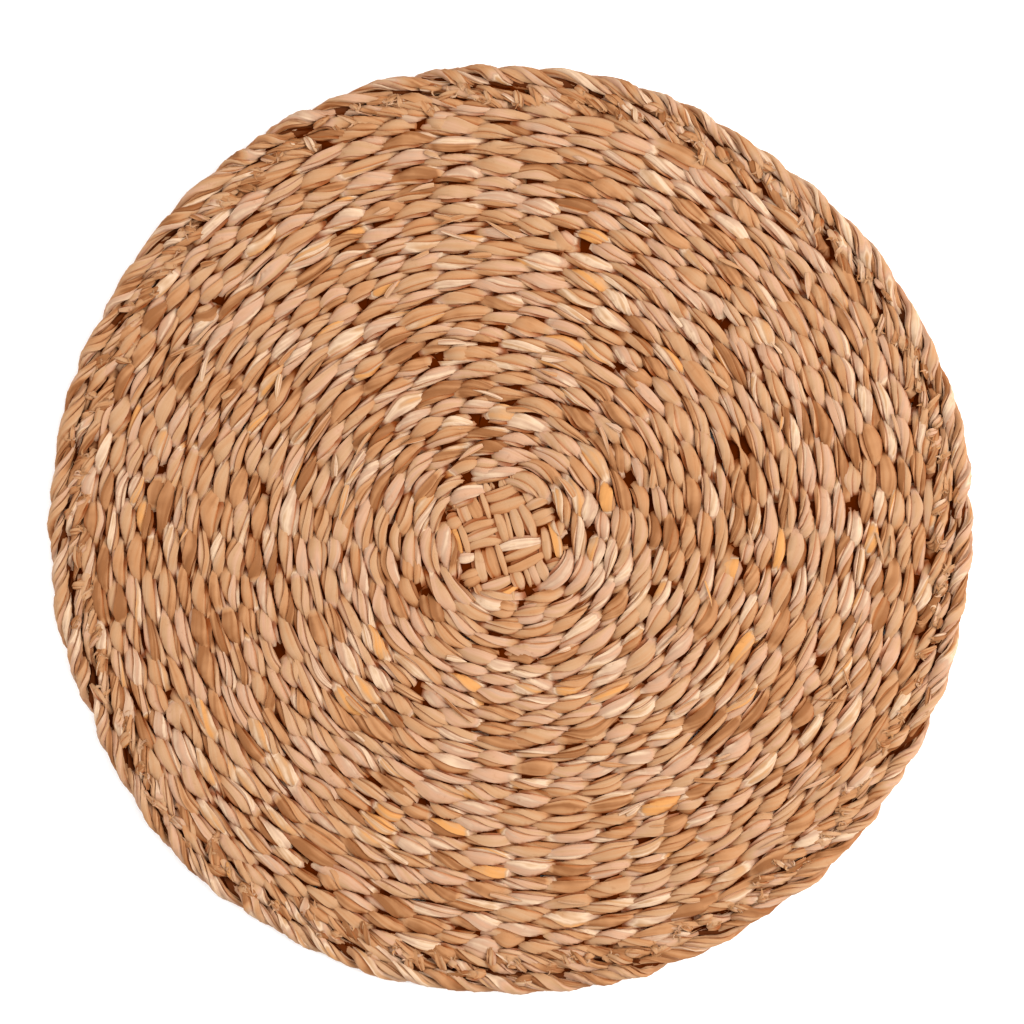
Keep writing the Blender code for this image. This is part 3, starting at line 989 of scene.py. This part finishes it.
class PLACEMAT_OT_border(bpy.types.Operator):
    """Lays the border: an outer and an inner rope, whose strands wind round each other along the rim"""

    bl_idname = "placemat.border"
    bl_label = "Lay the border"

    def execute(self, context):
        sizes = context.scene.placemat_sizes
        chance = np.random.default_rng(sizes.seed + 3)
        strands = Strands()
        rope_line(sizes, chance, strands, sizes.rope_radius, sizes.rope_middle, OUTER_ROPE)
        rope_line(sizes, chance, strands, sizes.rope_radius, sizes.rope_middle, FILLING_ROPE, math.pi)
        rope_line(sizes, chance, strands, sizes.inner_rope_radius, sizes.inner_rope_middle, INNER_ROPE)
        around = np.linspace(0, FULL_TURN, 6 * sizes.rope_lobes + 1)
        for core_radius, core_height, half_width, half_thickness in BORDER_CORES:
            strands.add(
                points_at(sizes, core_radius + 0.2 * MM * np.sin(40 * around), around, core_height),
                UP,
                half_width,
                half_thickness,
                30 * around,
                CORE_TINTS,
                sunk=1.9,
            )
        piece = sweep("border_strands", strands, leaf_material(context))
        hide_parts("rim_braid")
        return {"FINISHED"}


FRAYS_PER_END = 3
ENDS_PER_LOBE = 3
# A cut end, from least to most: length, distance outside the inner rope, half width and half thickness in
# millimetres, and slant in degrees; then the same for a fray's length and half width
END_LENGTH_MM = (4, 11)
END_OUTSIDE_MM = (-3, 4.5)
END_HALF_WIDTH_MM = (1.1, 2.0)
END_HALF_THICKNESS_MM = (0.9, 1.4)
END_SLANT_DEGREES = (-20, 75)
FRAY_LENGTH_MM = (2, 5)
FRAY_HALF_WIDTH_MM = (0.4, 1.0)


class PLACEMAT_OT_stubs(bpy.types.Operator):
    """Sets the cut and frayed spoke ends that show just inside the border"""

    bl_idname = "placemat.stubs"
    bl_label = "Set the cut spoke ends"

    def execute(self, context):
        sizes = context.scene.placemat_sizes
        chance = np.random.default_rng(sizes.seed + 4)
        strands = Strands()
        at = np.linspace(0, 1, 7)
        for number in range(ENDS_PER_LOBE * sizes.rope_lobes):
            lobe = (number + chance.uniform(-0.4, 0.4)) / (ENDS_PER_LOBE * sizes.rope_lobes) * FULL_TURN
            length = chance.uniform(*END_LENGTH_MM) * MM
            slant = math.radians(chance.uniform(*END_SLANT_DEGREES))
            outer = sizes.inner_rope_radius + chance.uniform(*END_OUTSIDE_MM) * MM
            radius = outer - length * math.sin(slant) * at
            angle = lobe - length * math.cos(slant) * at / outer
            rise = (5.7 + 1.9 * np.sin(np.pi * (0.1 + at * 0.75))) * MM + chance.normal(0, 0.4) * MM
            strands.add(
                points_at(sizes, radius, angle, rise),
                UP,
                chance.uniform(*END_HALF_WIDTH_MM) * MM * (0.7 + 0.6 * np.sin(np.pi * at)),
                chance.uniform(*END_HALF_THICKNESS_MM) * MM,
                chance.uniform(0, 6) + 1.5 * at,
                short_tints(chance, *CUT_END_TINTS),
                sunk=1.0,
                cut=np.clip(at * 2 - 1, 0, 1) * 0.5,
            )
            for _ in range(FRAYS_PER_END):
                heading = lobe + math.pi + chance.normal(slant - 0.5, 1.2)
                bend = heading + chance.normal(0, 3.2) * at
                steps = np.stack([np.cos(bend), np.sin(bend), 0.25 * np.sin(np.pi * at)], axis=1)
                path = np.cumsum(steps, axis=0) * chance.uniform(*FRAY_LENGTH_MM) * MM / len(at)
                lifted = rise[-3:-2] + chance.uniform(0, 0.7) * MM
                base = points_at(sizes, radius[-3:-2], angle[-3:-2], lifted)
                strands.add(
                    base + path,
                    UP,
                    chance.uniform(*FRAY_HALF_WIDTH_MM) * MM * (1.1 - at),
                    LEAF_HALF_THICKNESS * (1.1 - at),
                    chance.uniform(0, 6) + 3 * at,
                    short_tints(chance, *FRAY_TINTS),
                    cut=chance.uniform(0, 0.6),
                )
        piece = sweep("cut_ends", strands, leaf_material(context), points_per_leaf=3)
        return {"FINISHED"}


STRAY_LEAVES = 90
STRAY_LENGTH_MM = (6, 15)
STRAY_HALF_WIDTH_MM = (0.5, 1.5)


class PLACEMAT_OT_strays(bpy.types.Operator):
    """Lays the loose leaf ends that stick out of the weave here and there"""

    bl_idname = "placemat.strays"
    bl_label = "Lay the stray leaf ends"

    def execute(self, context):
        sizes = context.scene.placemat_sizes
        chance = np.random.default_rng(sizes.seed + 5)
        strands = Strands()
        at = np.linspace(0, 1, 8)
        for _ in range(STRAY_LEAVES):
            radius = math.sqrt(chance.uniform(0.02, 0.98)) * sizes.last_row
            lobe = chance.uniform(0, FULL_TURN)
            length = chance.uniform(*STRAY_LENGTH_MM) * MM
            slant = chance.normal(0.15, 0.3)
            way = chance.choice((-1, 1))
            run = length * at
            angle = lobe + way * run * math.cos(slant) / radius
            out = radius + way * run * math.sin(slant) + chance.normal(0, 0.8) * MM * at**2
            rise = FIELD_TOP - 1.6 * MM + 1.5 * MM * np.sin(np.pi * (0.15 + 0.7 * at))
            strands.add(
                points_at(sizes, out, angle, rise),
                UP,
                chance.uniform(*STRAY_HALF_WIDTH_MM) * MM * np.sin(np.pi * (0.25 + 0.72 * at)),
                LEAF_HALF_THICKNESS,
                chance.uniform(-0.4, 0.4) + chance.normal(0, 0.8) * at,
                short_tints(chance, *STRAY_LEAF_TINTS),
            )
        piece = sweep("stray_leaves", strands, leaf_material(context), leaves=2, points_per_leaf=4)
        return {"FINISHED"}


FLOOR_SIZE = 4.0
LIGHT_SIZE = 1.2
LIGHT_HEIGHT = 0.9
LIGHT_REACH = 1.1


class PLACEMAT_OT_stage(bpy.types.Operator):
    """Sets the pale floor, the soft lights and the camera straight above the mat"""

    bl_idname = "placemat.stage"
    bl_label = "Set the stage"

    def execute(self, context):
        scene = context.scene
        stage = scene.placemat_stage
        half = FLOOR_SIZE / 2
        mesh = bpy.data.meshes.new("floor")
        corners = [(-half, -half, 0), (half, -half, 0), (half, half, 0), (-half, half, 0)]
        mesh.from_pydata(corners, [], [(0, 1, 2, 3)])
        mesh.materials.append(matt_material("White paper, matt", scene.placemat_colours.floor))
        floor = bpy.data.objects.new("floor", mesh)
        scene.collection.objects.link(floor)
        places = (
            ("left_light", (-LIGHT_REACH, 0.1, LIGHT_HEIGHT), stage.fill_power),
            ("right_light", (LIGHT_REACH, 0.1, LIGHT_HEIGHT), stage.key_power),
            ("top_light", (0.0, 0.3, 1.6), stage.top_power),
        )
        for name, place, power in places:
            data = bpy.data.lights.new(name, "AREA")
            data.energy = power
            data.size = LIGHT_SIZE
            light = bpy.data.objects.new(name, data)
            light.location = place
            light.rotation_euler = (-Vector(place)).to_track_quat("-Z", "Y").to_euler()
            scene.collection.objects.link(light)
        world = bpy.data.worlds.new("White surroundings")
        world.use_nodes = True
        background = world.node_tree.nodes["Background"]
        background.inputs["Color"].default_value = (1, 1, 1, 1)
        background.inputs["Strength"].default_value = stage.world_strength
        scene.world = world
        data = bpy.data.cameras.new("camera")
        data.lens = stage.lens_mm
        metres_per_px = MAT_WIDTH / MAT_WIDTH_PX
        frame_width = PICTURE_WIDTH_PX * metres_per_px
        distance = frame_width * data.lens / data.sensor_width
        camera = bpy.data.objects.new("camera", data)
        camera.location = (
            (PICTURE_WIDTH_PX / 2 - MAT_MIDDLE_X_PX) * metres_per_px,
            (MAT_MIDDLE_Y_PX - PICTURE_WIDTH_PX / 2) * metres_per_px,
            MAT_TOP / 2 + distance,
        )
        scene.collection.objects.link(camera)
        scene.camera = camera
        scene.view_settings.view_transform = "Standard"
        scene.view_settings.look = "Medium High Contrast"
        return {"FINISHED"}


class VIEW3D_PT_placemat(bpy.types.Panel):
    """Sizes, colours and steps of the placemat"""

    bl_label = "Seagrass placemat"
    bl_idname = "VIEW3D_PT_placemat"
    bl_space_type = "VIEW_3D"
    bl_region_type = "UI"
    bl_category = "Placemat"

    def draw(self, context):
        for operator in OPERATORS:
            self.layout.operator(operator.bl_idname)
        scene = context.scene
        for group in (scene.placemat_sizes, scene.placemat_colours, scene.placemat_stage):
            box = self.layout.box()
            for name in group.bl_rna.properties.keys():
                if name not in ("rna_type", "name"):
                    box.prop(group, name)


OPERATORS = (
    PLACEMAT_OT_plait,
    PLACEMAT_OT_spokes,
    PLACEMAT_OT_weft,
    PLACEMAT_OT_border,
    PLACEMAT_OT_stubs,
    PLACEMAT_OT_strays,
    PLACEMAT_OT_stage,
)
CLASSES = (PlacematSizes, PlacematColours, PlacematStage, *OPERATORS, VIEW3D_PT_placemat)


def register():
    for cls in CLASSES:
        bpy.utils.register_class(cls)
    bpy.types.Scene.placemat_sizes = bpy.props.PointerProperty(type=PlacematSizes)
    bpy.types.Scene.placemat_colours = bpy.props.PointerProperty(type=PlacematColours)
    bpy.types.Scene.placemat_stage = bpy.props.PointerProperty(type=PlacematStage)


def unregister():
    del bpy.types.Scene.placemat_stage
    del bpy.types.Scene.placemat_colours
    del bpy.types.Scene.placemat_sizes
    for cls in reversed(CLASSES):
        bpy.utils.unregister_class(cls)


def main():
    register()
    bpy.ops.placemat.plait()
    bpy.ops.placemat.spokes()
    bpy.ops.placemat.weft()
    bpy.ops.placemat.border()
    bpy.ops.placemat.stubs()
    bpy.ops.placemat.strays()
    bpy.ops.placemat.stage()


if __name__ == "__main__":
    main()
